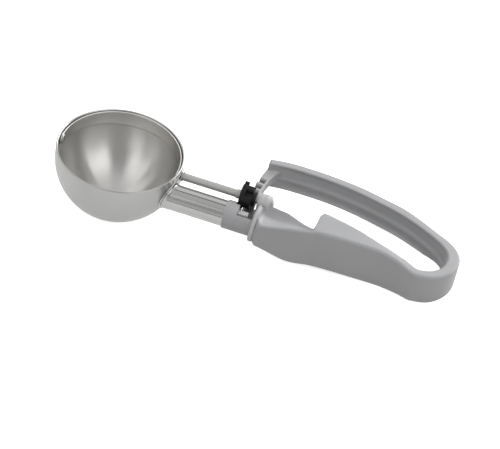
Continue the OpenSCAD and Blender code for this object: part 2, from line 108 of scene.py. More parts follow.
def make_camera():
    """Camera fitted to the photo: the rim's ellipse, the shaft's line and the handle's outline."""
    data = bpy.data.cameras.new("camera")
    data.sensor_width = SENSOR_WIDTH
    data.lens = data.sensor_width * FOCAL_PX / PHOTO_WIDTH
    data.clip_start, data.clip_end = CAMERA_RANGE
    camera = bpy.data.objects.new("camera", data)
    right = CAMERA_FORWARD.cross(CAMERA_UP).normalized()
    up = right.cross(CAMERA_FORWARD).normalized()
    turn = Matrix((right, up, -CAMERA_FORWARD.normalized())).transposed()
    camera.matrix_world = Matrix.Translation(CAMERA_PLACE * MM) @ turn.to_4x4()
    bpy.context.scene.collection.objects.link(camera)
    bpy.context.scene.camera = camera
    bpy.context.scene.view_settings.view_transform = "Standard"


# The scoop lies on its bowl, the palm of its grip and the rear of its lever.
FLOOR_HALF = 1500
FLOOR_LOW = -42.95
FLOOR_SLOPE_X = 0.118
FLOOR_SLOPE_Y = 0.078
FLOOR_SEEN = 0.9  # colour to the camera and in the metal
FLOOR_LIT = 0.5  # colour to the light that it sends on
FLOOR_GLOW = 0.7  # brings the seen floor to white
FLOOR_GLOSSY_GLOW = 0.4


def floor_height(x, y):
    """Height of the tilted floor."""
    return FLOOR_LOW + FLOOR_SLOPE_X * x + FLOOR_SLOPE_Y * y


def make_floor():
    """Large tilted sheet that carries the scoop and its shadow."""
    half = FLOOR_HALF
    corners = [(-half, -half), (half, -half), (half, half), (-half, half)]
    mesh = bpy.data.meshes.new("floor")
    points = [Vector((x, y, floor_height(x, y))) * MM for x, y in corners]
    mesh.from_pydata(points, [], [(0, 1, 2, 3)])
    floor = bpy.data.objects.new("floor", mesh)
    bpy.context.scene.collection.objects.link(floor)
    floor.data.materials.append(floor_material())


def floor_material():
    """Pale floor: white to the camera and in the metal, and a softer white to what it lights."""
    material, nodes, links = new_material("floor")
    output = nodes.new("ShaderNodeOutputMaterial")
    path = nodes.new("ShaderNodeLightPath")
    clear = either(nodes, links, path.outputs["Is Camera Ray"], path.outputs["Is Transmission Ray"])
    seen = either(nodes, links, clear, path.outputs["Is Glossy Ray"])
    white = nodes.new("ShaderNodeBsdfDiffuse")
    white.inputs["Color"].default_value = (FLOOR_SEEN, FLOOR_SEEN, FLOOR_SEEN, 1)
    glow = nodes.new("ShaderNodeEmission")
    links.new(either(nodes, links, times(nodes, links, clear, FLOOR_GLOW),
                     times(nodes, links, seen, FLOOR_GLOSSY_GLOW)), glow.inputs["Strength"])
    both = nodes.new("ShaderNodeAddShader")
    lit = nodes.new("ShaderNodeBsdfDiffuse")
    lit.inputs["Color"].default_value = (FLOOR_LIT, FLOOR_LIT, FLOOR_LIT, 1)
    mix = nodes.new("ShaderNodeMixShader")
    links.new(white.outputs[0], both.inputs[0])
    links.new(glow.outputs[0], both.inputs[1])
    links.new(seen, mix.inputs[0])
    links.new(lit.outputs[0], mix.inputs[1])
    links.new(both.outputs[0], mix.inputs[2])
    links.new(mix.outputs[0], output.inputs["Surface"])
    return material


# ---------- light ----------

LIGHT_AIM = Vector((0.06, 0, -0.01))  # metres
LIGHT_DISTANCE = 1.3  # metres
# Name, degrees from -Y towards +X, degrees up, width and length in metres, and watts.
LIGHTS = (
    ("left_light", -40, 42, (0.9, 0.8), 2.4),
    ("right_light", 66, 42, (1.1, 0.8), 4.2),
    ("top_light", 0, 90, (1.4, 1.2), 2.2),
    ("back_light", 145, 18, (1.1, 0.7), 13),
    ("rear_light", 180, 45, (1.1, 0.8), 2.2),
    ("rear_left_light", -110, 45, (1.1, 0.8), 2))
ROOM_LIGHT = 0.4  # the plain level that the world gives
SHINE_LOW, SHINE_HIGH = 0.8, 0.4  # the room in the metal, low down and overhead
SHINE_FROM, SHINE_TO = 0.25, 0.5  # Z of the direction over which the first passes into the second


def add_area_light(name, turn, height, size, power):
    """Soft lamp that faces the scoop."""
    data = bpy.data.lights.new(name, "AREA")
    data.shape = "RECTANGLE"
    data.size, data.size_y = size
    data.energy = power
    light = bpy.data.objects.new(name, data)
    turn, height = math.radians(turn), math.radians(height)
    away = Vector((math.sin(turn) * math.cos(height), -math.cos(turn) * math.cos(height),
                   math.sin(height)))
    facing = (-away).to_track_quat("-Z", "Y").to_matrix().to_4x4()
    light.matrix_world = Matrix.Translation(LIGHT_AIM + away * LIGHT_DISTANCE) @ facing
    bpy.context.scene.collection.objects.link(light)


def make_world():
    """White room to the camera, softer as a light, and brighter at its horizon in the metal."""
    world = bpy.data.worlds.new("studio")
    world.use_nodes = True
    nodes, links = world.node_tree.nodes, world.node_tree.links
    nodes.clear()
    output = nodes.new("ShaderNodeOutputWorld")
    place = nodes.new("ShaderNodeTexCoord")
    split = nodes.new("ShaderNodeSeparateXYZ")
    path = nodes.new("ShaderNodeLightPath")
    room = nodes.new("ShaderNodeBackground")
    room.inputs["Color"].default_value = (1, 1, 1, 1)
    links.new(place.outputs["Generated"], split.inputs[0])
    shine = map_range(nodes, links, split.outputs["Z"], SHINE_FROM, SHINE_TO, SHINE_LOW, SHINE_HIGH)
    shine.node.interpolation_type = "SMOOTHSTEP"
    backdrop = times(nodes, links, path.outputs["Is Glossy Ray"], shine)
    links.new(either(nodes, links, ROOM_LIGHT, backdrop, path.outputs["Is Camera Ray"],
                     path.outputs["Is Transmission Ray"]), room.inputs["Strength"])
    links.new(room.outputs[0], output.inputs["Surface"])
    bpy.context.scene.world = world


# ---------- node helpers ----------

NOISE_LOW, NOISE_HIGH = 0.3, 0.7  # noise seldom leaves this range


def new_material(name):
    """Empty node material, with its nodes and links."""
    material = bpy.data.materials.new(name)
    material.use_nodes = True
    nodes, links = material.node_tree.nodes, material.node_tree.links
    nodes.clear()
    return material, nodes, links


def feed(links, item, socket):
    """Puts a number or another node's output into a socket."""
    if isinstance(item, (int, float)):
        socket.default_value = item
    else:
        links.new(item, socket)


def either(nodes, links, *values):
    """Highest of some numbers and sockets."""
    last = values[0]
    for value in values[1:]:
        node = nodes.new("ShaderNodeMath")
        node.operation = "MAXIMUM"
        feed(links, last, node.inputs[0])
        feed(links, value, node.inputs[1])
        last = node.outputs[0]
    return last


def times(nodes, links, first, second):
    """Product of two numbers or sockets."""
    node = nodes.new("ShaderNodeMath")
    node.operation = "MULTIPLY"
    feed(links, first, node.inputs[0])
    feed(links, second, node.inputs[1])
    return node.outputs[0]


def map_range(nodes, links, value, low, high, new_low=0, new_high=1):
    """Maps low to high on to new_low to new_high, and holds it at the ends."""
    node = nodes.new("ShaderNodeMapRange")
    node.inputs["From Min"].default_value = low
    node.inputs["From Max"].default_value = high
    node.inputs["To Min"].default_value = new_low
    node.inputs["To Max"].default_value = new_high
    links.new(value, node.inputs["Value"])
    return node.outputs[0]


def noise(nodes, links, scale, detail=2.0, stretch=(1, 1, 1)):
    """Noise over the row frame, in waves per metre, squeezed along each axis by stretch."""
    place = nodes.new("ShaderNodeTexCoord")
    mapping = nodes.new("ShaderNodeMapping")
    mapping.inputs["Scale"].default_value = stretch
    texture = nodes.new("ShaderNodeTexNoise")
    texture.inputs["Scale"].default_value = scale
    texture.inputs["Detail"].default_value = detail
    links.new(place.outputs["Object"], mapping.inputs["Vector"])
    links.new(mapping.outputs[0], texture.inputs["Vector"])
    return texture.outputs["Fac"]


def spread(nodes, links, value, low, high):
    """Number between low and high, by noise."""
    return map_range(nodes, links, value, NOISE_LOW, NOISE_HIGH, low, high)


def tint(nodes, links, value, low, high):
    """Colour between low and high, by noise."""
    ramp = nodes.new("ShaderNodeValToRGB")
    for stop, place, colour in zip(ramp.color_ramp.elements, (NOISE_LOW, NOISE_HIGH), (low, high)):
        stop.position = place
        stop.color = (*colour, 1)
    links.new(value, ramp.inputs[0])
    return ramp.outputs[0]


def bump(nodes, links, value, strength, depth):
    """Normal tilted by noise, with its depth in metres."""
    node = nodes.new("ShaderNodeBump")
    node.inputs["Strength"].default_value = strength
    node.inputs["Distance"].default_value = depth
    links.new(value, node.inputs["Height"])
    return node.outputs[0]


def principled(nodes, links):
    """Principled shader that feeds the material's output."""
    shader = nodes.new("ShaderNodeBsdfPrincipled")
    output = nodes.new("ShaderNodeOutputMaterial")
    links.new(shader.outputs[0], output.inputs["Surface"])
    return shader


# ---------- materials ----------

# Noise scales in waves per metre, and bump depths in metres.
MOTTLE, PLASTIC_SHINE, GRAIN, GRAIN_DETAIL, GRAIN_DEPTH = 45, 120, 2600, 3, 0.0001
STEEL_TONE, SCRATCHES, SCRATCH_DEPTH = 30, 1500, 0.00005
SHINE_SPREAD = 0.05
SCRATCH_ROUGHNESS = 3
SPUN_TURN = 0.25
# Finish: material name, low and high colour and roughness, and grain and shine where not usual.
PLASTICS = {
    "grey": ("grey_plastic", (0.375, 0.376, 0.384), (0.4, 0.401, 0.409), 0.5),
    "light": ("light_plastic", (0.48, 0.482, 0.486), (0.52, 0.522, 0.526), 0.45),
    "rack": ("rack_plastic_painted_gap_shade", (0.43, 0.432, 0.436), (0.47, 0.472, 0.476), 0.45),
    "black": ("black_plastic", (0.004, 0.004, 0.004), (0.008, 0.008, 0.008), 0.5, 0.1, 0.25)}
# Finish: material name, low and high colour, roughness, stretch, scratches and spun shine.
STEELS = {
    "bowl": ("polished_steel", (0.56, 0.555, 0.54), (0.6, 0.595, 0.58), 0.3,
             (0.02, 0.02, 1), 0.008, 0.9),
    # The outside is the inside's steel in a darker colour, painted shade for a dimmer reflection,
    # with a slightly rougher satin finish.
    "bowl_out": ("satin_bowl_painted_shade", (0.39, 0.388, 0.38), (0.42, 0.418, 0.41), 0.34,
                 (0.02, 0.02, 1), 0.01, 0.8),
    "tube": ("polished_tube", (0.4, 0.4, 0.39), (0.43, 0.43, 0.42), 0.26, (0.02, 1, 1), 0.02),
    "satin": ("satin_steel", (0.38, 0.38, 0.365), (0.45, 0.45, 0.435), 0.36, (1, 0.3, 0.3), 0.1),
    "shaft": ("drawn_shaft", (0.43, 0.43, 0.415), (0.48, 0.48, 0.465), 0.5, (0.02, 1, 1), 0.02),
    "blade": ("blade_steel", (0.68, 0.664, 0.648), (0.72, 0.704, 0.688), 0.3,
              (0.02, 0.02, 1), 0.02, 0.6)}
# Painted shade for the floors of the rack's tooth gaps, and the depth and facing over which it fades
# in.
GAP_SHADE_COLOUR = (0.16, 0.162, 0.166, 1)
GAP_TOP, GAP_LOW = 5.1, 6.3  # below the shaft's axis, where the shade begins and is full
GAP_SIDE, GAP_UP = -0.1, 0.25  # Z of the normal, from a tooth's flank to a face that looks up
materials = {}


def plastic(name, low, high, roughness, grain=0.1, shine=0.5):
    """Moulded plastic: a faint mottle in colour and shine, and a fine moulded grain."""
    material, nodes, links = new_material(name)
    shader = principled(nodes, links)
    shader.inputs["Specular IOR Level"].default_value = shine
    links.new(tint(nodes, links, noise(nodes, links, MOTTLE), low, high),
              shader.inputs["Base Color"])
    links.new(spread(nodes, links, noise(nodes, links, PLASTIC_SHINE), roughness - SHINE_SPREAD,
                     roughness + SHINE_SPREAD), shader.inputs["Roughness"])
    links.new(bump(nodes, links, noise(nodes, links, GRAIN, GRAIN_DETAIL), grain, GRAIN_DEPTH),
              shader.inputs["Normal"])
    return material


def steel(name, low, high, roughness, stretch, scratch, spun=0):
    """Stainless steel with faint lines, long where stretch is small, and a turned shine if spun."""
    material, nodes, links = new_material(name)
    shader = principled(nodes, links)
    shader.inputs["Metallic"].default_value = 1
    if spun:
        tangent = nodes.new("ShaderNodeTangent")
        tangent.direction_type = "RADIAL"
        tangent.axis = "Z"
        links.new(tangent.outputs[0], shader.inputs["Tangent"])
        shader.inputs["Anisotropic"].default_value = spun
        shader.inputs["Anisotropic Rotation"].default_value = SPUN_TURN
    links.new(tint(nodes, links, noise(nodes, links, STEEL_TONE), low, high),
              shader.inputs["Base Color"])
    lines = noise(nodes, links, SCRATCHES, stretch=stretch)
    change = SCRATCH_ROUGHNESS * scratch
    links.new(spread(nodes, links, lines, roughness * (1 - change), roughness * (1 + change)),
              shader.inputs["Roughness"])
    links.new(bump(nodes, links, lines, scratch, SCRATCH_DEPTH), shader.inputs["Normal"])
    return material


def paint_gap_shade(material, top, low):
    """Paints shade on the floors of the gaps between teeth, darkest where they lie deep and face up.
    """
    nodes, links = material.node_tree.nodes, material.node_tree.links
    shader = next(node for node in nodes if node.type == "BSDF_PRINCIPLED")
    colour = shader.inputs["Base Color"].links[0].from_socket
    place = nodes.new("ShaderNodeTexCoord")
    spot = nodes.new("ShaderNodeSeparateXYZ")
    links.new(place.outputs["Object"], spot.inputs[0])
    turn = nodes.new("ShaderNodeSeparateXYZ")
    links.new(place.outputs["Normal"], turn.inputs[0])
    depth = map_range(nodes, links, spot.outputs["Z"], top * MM, low * MM)
    up = map_range(nodes, links, turn.outputs["Z"], GAP_SIDE, GAP_UP)
    mix = nodes.new("ShaderNodeMixRGB")
    mix.inputs["Color2"].default_value = GAP_SHADE_COLOUR
    links.new(times(nodes, links, depth, up), mix.inputs["Fac"])
    links.new(colour, mix.inputs["Color1"])
    links.new(mix.outputs[0], shader.inputs["Base Color"])


def make_materials():
    """Fills the table of materials."""
    for finish, values in PLASTICS.items():
        materials[finish] = plastic(*values)
    for finish, values in STEELS.items():
        materials[finish] = steel(*values)
    # Painted shade in the rack's tooth gaps.
    paint_gap_shade(materials["rack"], shaft_z - GAP_TOP, shaft_z - GAP_LOW)


# ---------- mesh helpers ----------

DOUBLES = 1e-7  # metres
WELD = 0.000002  # metres


def new_piece(name, points, faces, material, smooth=True):
    """Piece from points, with doubled points merged and its faces turned outwards."""
    mesh = bpy.data.meshes.new(name)
    mesh.from_pydata([Vector(p) * MM for p in points], [], faces)
    mesh.materials.append(material)
    piece = bpy.data.objects.new(name, mesh)
    bpy.context.scene.collection.objects.link(piece)
    clean = bmesh.new()
    clean.from_mesh(mesh)
    bmesh.ops.remove_doubles(clean, verts=clean.verts, dist=DOUBLES)
    bmesh.ops.recalc_face_normals(clean, faces=clean.faces)
    for face in clean.faces:
        face.smooth = smooth
    clean.to_mesh(mesh)
    clean.free()
    return piece


def joined(rings):
    """One list of points from a list of rings."""
    return [point for ring in rings for point in ring]


def grid_faces(rings, count):
    """Quads between closed rings of count points each."""
    return [(r * count + i, r * count + (i + 1) % count, (r + 1) * count + (i + 1) % count,
             (r + 1) * count + i) for r in range(rings - 1) for i in range(count)]


def cap_faces(rings, count):
    """Faces that close the first and the last ring."""
    return [tuple(range(count)), tuple((rings - 1) * count + i for i in range(count))]


def circle(radius, count):
    """Points round a circle about the origin of a plane."""
    angles = [2 * math.pi * i / count for i in range(count)]
    return [(radius * math.cos(a), radius * math.sin(a)) for a in angles]


def arc(centre, radius, start, end, steps):
    """Points of an arc in a plane, with angles in degrees."""
    angles = [math.radians(start + (end - start) * i / steps) for i in range(steps + 1)]
    return [(centre[0] + radius * math.cos(a), centre[1] + radius * math.sin(a)) for a in angles]


def catmull(a, b, c, d, t):
    """Point between b and c on the smooth curve through a, b, c and d, for rows of numbers."""
    return [0.5 * (2 * q + (r - p) * t + (2 * p - 5 * q + 4 * r - s) * t * t
                   + (3 * q - p - 3 * r + s) * t ** 3) for p, q, r, s in zip(a, b, c, d)]


def smooth_rows(rows, steps):
    """Rows with steps of the smooth curve through them between each two."""
    last = len(rows) - 1
    between = [catmull(rows[max(i - 1, 0)], rows[i], rows[i + 1], rows[min(i + 2, last)], j / steps)
               for i in range(last) for j in range(steps)]
    return between + [list(rows[last])]


def soften_edges(piece, width, angle=32, segments=3):
    """Rounds the edges sharper than an angle in degrees, on a piece or a carried-over CAD node."""
    weld = piece.modifiers.new("weld", "WELD")
    weld.merge_threshold = WELD
    bevel = piece.modifiers.new("bevel", "BEVEL")
    bevel.width = width * MM
    bevel.segments = segments
    bevel.limit_method = "ANGLE"
    bevel.angle_limit = math.radians(angle)


def keep_sharp(piece, angle):
    """Keeps the edges sharper than an angle in degrees sharp in the shading."""
    piece.data.set_sharp_from_angle(angle=math.radians(angle))


def turned(name, profile, material, body, node, turns=72):
    """Part turned about the shaft's axis from (x, radius) points, with sharp steps kept sharp."""
    points = [(x, y, shaft_z + z) for x, r in profile for y, z in circle(r, turns)]
    piece = new_piece(name, points, grid_faces(len(profile), turns), material)
    keep_sharp(piece, angle=35)
    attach(piece, body)
    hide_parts(node)


# ---------- bowl ----------

BOWL_TURNS = 160
EDGE_LOW = -0.65  # below the rolled edge
OUTER_HEIGHTS = (-4, -2, -1, EDGE_LOW)
WALL_STEP = 0.25
WALL_KEEP = 5  # each so many steps give a point
WALL_END = 88.5  # degrees


def inner_wall():
    """Inside of the bowl, edge to floor, with the ball's curve eased out of the straight wall."""
    points = [(bowl_r, EDGE_LOW)]
    x, z, turn, gone = bowl_r, EDGE_LOW, 0, 0
    eased = 2 * (bowl_straight + EDGE_LOW)
    while turn < math.radians(WALL_END):
        share = min(gone * WALL_STEP / eased, 1)
        turn += WALL_STEP / bowl_r * share * share * (3 - 2 * share)
        x -= WALL_STEP * math.sin(turn)
        z -= WALL_STEP * math.cos(turn)
        gone += 1
        if gone % WALL_KEEP == 0:
            points.append((x, z))
    return points + [(0, z)]


def make_bowl():
    """Spun bowl with a rolled-soft edge: one profile turned about the Z axis."""
    edge = bowl_wall / 2
    rim = arc((bowl_out - edge, -edge), edge, 0, 180, 8)
    outer = arc((0, -bowl_straight), bowl_out, -90, 0, 40)
    profile = outer + [(bowl_out, z) for z in OUTER_HEIGHTS] + rim + inner_wall()
    points = [(x, y, z) for r, z in profile for x, y in circle(r, BOWL_TURNS)]
    bowl = new_piece("spun_bowl", points, grid_faces(len(profile), BOWL_TURNS), materials["bowl"])
    bowl.data.materials.append(materials["bowl_out"])
    # Faces outside the rim take the darker outside steel, whose colour paints shade on the bowl's
    # outside.
    for face in bowl.data.polygons:
        spot = face.center / MM
        spot.z = min(spot.z + bowl_straight, 0)
        if spot.length > bowl_out - edge:
            face.material_index = 1
    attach(bowl, "frame")
    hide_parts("bowl")


# ---------- blade ----------

BLADE_STEPS, BLADE_ROWS = 96, 8
BLADE_END = 3.0  # half width at the eyes
EYE_OUT, EYE_HOLE, EYE_TURNS = 3.4, 1.6, 48
BLADE_EDGE = 0.15


def blade_half_width(share):
    """Half width of the blade at a share from -1 to 1 of its half turn, narrow at the eyes."""
    return BLADE_END + (blade_half - BLADE_END) * math.cos(share * math.pi / 2) ** 0.5


def make_blade():
    """Thin sprung strip on a sphere about the shaft's axis, with a round eye at each end."""
    rings = []
    for i in range(BLADE_STEPS + 1):
        share = -1 + 2 * i / BLADE_STEPS
        around = share * math.pi / 2
        half = blade_half_width(share)
        ring = []
        for radius, order in ((blade_out, range(BLADE_ROWS + 1)),
                              (blade_out - blade_t, range(BLADE_ROWS, -1, -1))):
            for j in order:
                z = -half + 2 * half * j / BLADE_ROWS
                flat = math.sqrt(radius * radius - z * z)
                ring.append((flat * math.sin(around), flat * math.cos(around), shaft_z + z))
        rings.append(ring)
    blade = new_piece("scraper", joined(rings), grid_faces(len(rings), len(rings[0])),
                      materials["blade"])
    soften_edges(blade, BLADE_EDGE, angle=50, segments=2)
    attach(blade, "ejector")
    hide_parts("scraper_blade")
    make_eye("front_eye", -1)
    make_eye("rear_eye", 1)


def make_eye(name, side):
    """Round end of the blade, which closes the strip below its rivet."""
    rings = [[(side * math.sqrt(radius ** 2 - reach ** 2), y, shaft_z + z)
              for y, z in circle(reach, EYE_TURNS)]
             for radius, reach in ((blade_out, EYE_OUT), (blade_out, EYE_HOLE),
                                   (blade_out - blade_t, EYE_HOLE), (blade_out - blade_t, EYE_OUT),
                                   (blade_out, EYE_OUT))]
    eye = new_piece(name, joined(rings), grid_faces(len(rings), EYE_TURNS), materials["blade"])
    soften_edges(eye, BLADE_EDGE, angle=50, segments=2)
    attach(eye, "ejector")


# ---------- tube and saddle between the bowl and the collar ----------

TUBE_WALL = 1.0
TUBE_ANGLE_STEP = 4
# Seam and fold: degrees from the top, half their width in degrees and their depth.
TUBE_LINES = ((14.5, 1.9, 0.6), (71, 2.2, 0.22))
LINE_SHOULDER = 0.6  # degrees
RIM_GAP = 0.5
SADDLE_SMALL_R = 3.7
# Margin of the saddle's outline and height above the bowl, from its foot to its flat.
SADDLE_EDGE = ((0.5, 0), (0.5, 0.35), (0.3, 0.75), (-0.1, 1), (-0.7, saddle_t))
SADDLE_CENTRE = 0.6  # share of the way from the shaft to the tube
# Name, centre, inner radius, width and rise.
FLARES = (("tube_flare", (shank_y, shank_z), shank_r, 0.6, 1.4),
          ("shaft_flare", (0, shaft_z), 2.9, 0.8, 0.7))
FLARE_TURNS, FLARE_STEPS = 72, 8
FLARE_BASE, FLARE_FOOT = 1.05, 0.3  # over the bowl
FLARE_GAP, FLARE_INSET = 0.05, 0.25


def make_tube():
    """Rolled tube that ends on the saddle, with a seam along its top and a shallow fold below."""
    seat = bowl_out + saddle_t
    outline = {a: 0 for a in range(0, 360, TUBE_ANGLE_STEP)}
    for middle, half, depth in TUBE_LINES:
        outline = {a: d for a, d in outline.items() if abs(a - middle) > half + 1}
        outline.update({middle - half - LINE_SHOULDER: 0, middle - half: 0, middle: depth,
                        middle + half: 0, middle + half + LINE_SHOULDER: 0})
    angles = sorted(outline)
    outer_front, outer_rear, inner_rear, inner_front = [], [], [], []
    for a in angles:
        side, up = math.sin(math.radians(a)), math.cos(math.radians(a))
        for reach, front, rear in ((shank_r - outline[a], outer_front, outer_rear),
                                   (shank_r - TUBE_WALL, inner_front, inner_rear)):
            y, z = shank_y - reach * side, shank_z + reach * up
            drop = min(z + bowl_straight, 0)
            front.append((math.sqrt(seat * seat - y * y - drop * drop), y, z))
            rear.append((tube_end, y, z))
    rings = [outer_front, outer_rear, inner_rear, inner_front, outer_front]
    tube = new_piece("seamed_tube", joined(rings), grid_faces(len(rings), len(angles)),
                     materials["tube"])
    keep_sharp(tube, angle=25)
    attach(tube, "frame")
    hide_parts("shank_tube")


def on_bowl(up, y, z):
    """Point on the +X side of the bowl, grown by a height and kept below the rim."""
    reach = bowl_out + up
    z = min(z, -RIM_GAP)
    drop = min(z + bowl_straight, 0)
    return (math.sqrt(max(reach * reach - y * y - drop * drop, 0)), y, z)


def saddle_outline(margin):
    """Outline round the shaft and the tube in YZ: two arcs, and the lines that touch both."""
    small, big = SADDLE_SMALL_R + margin, shank_r + margin
    gap = math.hypot(shank_y, shank_z - shaft_z)
    heading = math.degrees(math.atan2(shank_z - shaft_z, shank_y))
    lean = 180 - math.degrees(math.acos((big - small) / gap))
    return (arc((0, shaft_z), small, heading + lean, heading + 360 - lean, 30)
            + arc((shank_y, shank_z), big, heading - lean, heading + lean, 50))


def make_saddle():
    """Pressed sheet on the bowl with rolled edges, flared up round the tube and the shaft."""
    rings = [[on_bowl(up, y, z) for y, z in saddle_outline(margin)] for margin, up in SADDLE_EDGE]
    outline = saddle_outline(SADDLE_EDGE[-1][0])
    cy, cz = shank_y * SADDLE_CENTRE, shaft_z + (shank_z - shaft_z) * SADDLE_CENTRE
    for share in [0.9 - 0.1 * i for i in range(9)]:
        rings.append([on_bowl(saddle_t, cy + (y - cy) * share, cz + (z - cz) * share)
                      for y, z in outline])
    count = len(outline)
    faces = grid_faces(len(rings), count) + cap_faces(len(rings), count)[1:]
    saddle = new_piece("bowl_plate", joined(rings), faces, materials["tube"])
    keep_sharp(saddle, angle=50)
    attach(saddle, "frame")
    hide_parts("bowl_saddle")
    for flare in FLARES:
        make_flare(*flare)


def make_flare(name, centre, inner, width, rise):
    """Quarter-round lip that the saddle raises round a tube or shaft."""
    sizes = []
    for i in range(FLARE_STEPS + 1):
        t = math.pi / 2 * i / FLARE_STEPS
        sizes.append((inner + FLARE_GAP + width * (1 - math.sin(t)),
                      FLARE_BASE + rise * (1 - math.cos(t))))
    sizes += [(inner - FLARE_INSET, FLARE_BASE + rise), (inner - FLARE_INSET, FLARE_FOOT)]
    rings = [[on_bowl(up, y, z) for y, z in arc(centre, radius, 0, 360, FLARE_TURNS)[:-1]]
             for radius, up in sizes]
    piece = new_piece(name, joined(rings), grid_faces(len(rings), FLARE_TURNS), materials["tube"])
    keep_sharp(piece, angle=50)
    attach(piece, "frame")


# ---------- turned parts ----------

SHAFT_NOSE, SHAFT_CHAMFER = 0.4, 0.5
SLEEVE_STEP, SLEEVE_T = 0.25, 0.45
BUSH_R, BUSH_FIT, BUSH_STAND = 3.1, 0.1, 0.7
RIVET_R = 1.4
# Distance from the cap's end, and radius there.
CAP_FRONT, CAP_REAR = ((0, 2.6), (0.3, 2.9)), ((0.6, 2.9), (0.2, 2.7), (0, 2.3))
# Depth below a rivet's top, and radius there.
RIVET_DOME = ((0, 0), (0.05, 1), (0.25, 2), (0.55, 2.6), (0.8, 2.8), (0.9, RIVET_R))


def make_turned():
    """Shaft, sleeve, cap, bush, pivot and rivet, all about the shaft's axis."""
    r = shaft_r
    low, high = ends("drive_shaft")
    turned("turned_shaft", [(low, 0), (low, r - SHAFT_NOSE), (low + SHAFT_NOSE, r),
                            (high - SHAFT_CHAMFER, r), (high, r - SHAFT_CHAMFER), (high, 0)],
           materials["shaft"], "ejector", "drive_shaft")
    low, high = ends("front_sleeve")
    turned("turned_sleeve", [(low, r), (low, r + SLEEVE_STEP), (low + SLEEVE_STEP, r + SLEEVE_T),
                             (high, r + SLEEVE_T), (high, r)],
           materials["shaft"], "ejector", "front_sleeve")
    low, high = ends("end_cap")
    turned("moulded_cap", [(low, r)] + [(low + depth, radius) for depth, radius in CAP_FRONT]
           + [(high - depth, radius) for depth, radius in CAP_REAR] + [(high, r)],
           materials["grey"], "ejector", "end_cap")
    low, high = ends("neck_bush")[0], bowl_out + BUSH_STAND
    turned("turned_bush", [(low, r + BUSH_FIT), (low, BUSH_R), (high, BUSH_R),
                           (high, r + BUSH_FIT)],
           materials["satin"], "frame", "neck_bush")
    low, high = ends("tip_pivot")
    turned("domed_pivot", [(low + depth, radius) for depth, radius in RIVET_DOME]
           + [(high - depth, radius) for depth, radius in reversed(RIVET_DOME)],
           materials["satin"], "frame", "tip_pivot")
    low, high = ends("blade_rivet")
    turned("domed_rivet", [(low + depth, radius) for depth, radius in RIVET_DOME]
           + [(high, RIVET_R), (high, 0)], materials["satin"], "ejector", "blade_rivet")


# ---------- guide tab, sill and dark shade lug ---

TAB_X, TAB_Y, TAB_Z = (74.6, 80.7), (-13.9, -10.4), (-9, -6.8)
TAB_FACES = [(0, 1, 3, 2), (4, 6, 7, 5), (0, 4, 5, 1), (2, 3, 7, 6), (0, 2, 6, 4), (1, 5, 7, 3)]
SILL_OUT, SILL_IN = 0.69, 0.4  # over the shank's radius
SILL_FROM, SILL_TO = 131, 153  # degrees round the shank
# Black lug that stands in for the shade inside the collar's window.
SHADE_LUG_X = (72.7, 75.1)
# Y, and height over the shaft's axis.
SHADE_LUG_OUTLINE = ((-1.2, -2.5), (2.4, -3), (1.4, -7.4), (-4.2, -6.4), (-4, -2.2))


def make_tab():
    """Moulded tab in the collar's window, with rounded edges."""
    corners = [(x, y, z) for x in TAB_X for y in TAB_Y for z in TAB_Z]
    tab = new_piece("guide_tab", corners, TAB_FACES, materials["light"])
    soften_edges(tab, width=0.45, angle=30, segments=4)
    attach(tab, "frame")
    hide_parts("guide_clip")


def make_sill():
    """Thin strip of the collar's wall, which closes the window below the tab."""
    centre = (shank_y, shank_z)
    outline = (arc(centre, shank_r + SILL_OUT, SILL_FROM, SILL_TO, 8)
               + arc(centre, shank_r + SILL_IN, SILL_TO, SILL_FROM, 8))
    points = [(x, y, z) for x in (TAB_X[0], lip_x) for y, z in outline]
    count = len(outline)
    sill = new_piece("window_sill", points, grid_faces(2, count) + cap_faces(2, count),
                     materials["grey"])
    keep_sharp(sill, angle=40)
    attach(sill, "frame")


def make_shade_lug():
    """Square lug below the pinion's collar, level with the lug above: a black piece that fills the
    gap there with painted shade for the dark inside of the collar's window.
    """
    points = [(x, y, shaft_z + z) for x in SHADE_LUG_X for y, z in SHADE_LUG_OUTLINE]
    stop = new_piece("pinion_shade_lug", points, [(0, 1, 2, 3, 4), (9, 8, 7, 6, 5)] + grid_faces(2, 5),
                     materials["black"])
    soften_edges(stop, width=0.25, angle=30, segments=2)
    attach(stop, "ejector")


# ---------- rack ----------

FLEX_X, FLEX_Y = bend_x + 12, 4
RACK_X = 77.3
PINION_PITCH_R, PINION_SPACES = 5.4, 6
PITCH = 2 * math.pi * PINION_PITCH_R / PINION_SPACES
RACK_OUT, RACK_SPINE, RACK_IN = 1.7, -2.5, -3.7  # over the pitch arc's radius
TOOTH_TIP, TOOTH_ROOT, RACK_LOW = -4.4, -6.8, -9.8  # over the shaft's axis
TIP_HALF, ROOT_HALF, NOSE = 0.37, 0.18, 0.2  # shares of the pitch
RACK_END = 162  # degrees
RACK_GAPS, RACK_STEPS = 5, 12
GROW_FROM, GROW_OVER, GROW_POWER = 24, 11, 1.6  # the Y from which the bar widens into the lever
GROW_SIDE, GROW_LOW, GROW_TOP = 0.8, 0.5, 0.4  # how much it widens each way
SPINE_LIFT = 0.001  # keeps the tooth's top apart from the spine's


def rack_marks(reach):
    """Angles along the rack's arc, in radians, with the height of its top at each."""
    step = PITCH / reach
    mesh_angle = math.pi + math.atan2(FLEX_Y, FLEX_X - RACK_X)
    tip, root = shaft_z + TOOTH_TIP, shaft_z + TOOTH_ROOT
    marks = [(mesh_angle - NOSE * step, tip)]
    for i in range(RACK_GAPS):
        for offset, z in ((TIP_HALF, tip), (ROOT_HALF, root), (-ROOT_HALF, root), (-TIP_HALF, tip)):
            angle = mesh_angle - (i - offset) * step
            if angle < marks[0][0]:
                marks.append((angle, z))
    last, stop = marks[-1][0], math.radians(RACK_END)
    return marks + [(last + (stop - last) * i / RACK_STEPS, tip) for i in range(1, RACK_STEPS + 1)]


